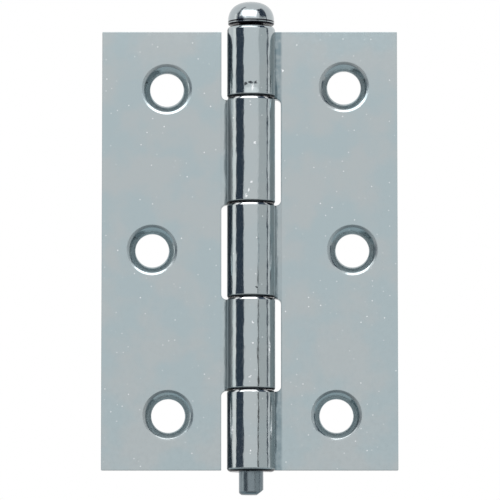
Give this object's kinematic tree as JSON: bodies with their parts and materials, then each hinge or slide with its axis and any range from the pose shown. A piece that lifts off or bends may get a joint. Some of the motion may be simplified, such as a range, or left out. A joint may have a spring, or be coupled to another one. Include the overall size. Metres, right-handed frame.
{
  "type": "narrow butt hinge",
  "caption": "Narrow butt hinge of zinc-plated steel sheet, with rolled knuckles, countersunk screw holes and a loose pin with a domed head.",
  "frame": {"origin": "on the pin's axis, at half the height of the leaves", "axes": "+X to the frame leaf, -Y to the side of the barrel and the countersinks, +Z along the pin to its head"},
  "size_m": [0.0511, 0.0082, 0.0853],
  "materials": {
    "zinc_leaf": "blue-passivated zinc plate on steel sheet, satin, with fine mottling",
    "zinc_pin": "blue-passivated zinc plate on turned steel, bright"
  },
  "bodies": {
    "frame_leaf": {"frame_leaf": "zinc_leaf"},
    "door_leaf": {"door_leaf": "zinc_leaf"},
    "hinge_pin": {"hinge_pin": "zinc_pin"}
  },
  "joints": [
    {"name": "leaf_swing", "type": "hinge", "parent": "frame_leaf", "child": "door_leaf", "pos_m": [0, 0, 0], "axis": [0, 0, 1], "range_deg": [-100, 180]},
    {"name": "pin_lift", "type": "slide", "parent": "frame_leaf", "child": "hinge_pin", "axis": [0, 0, 1], "range_m": [0, 0.081]}
  ]
}
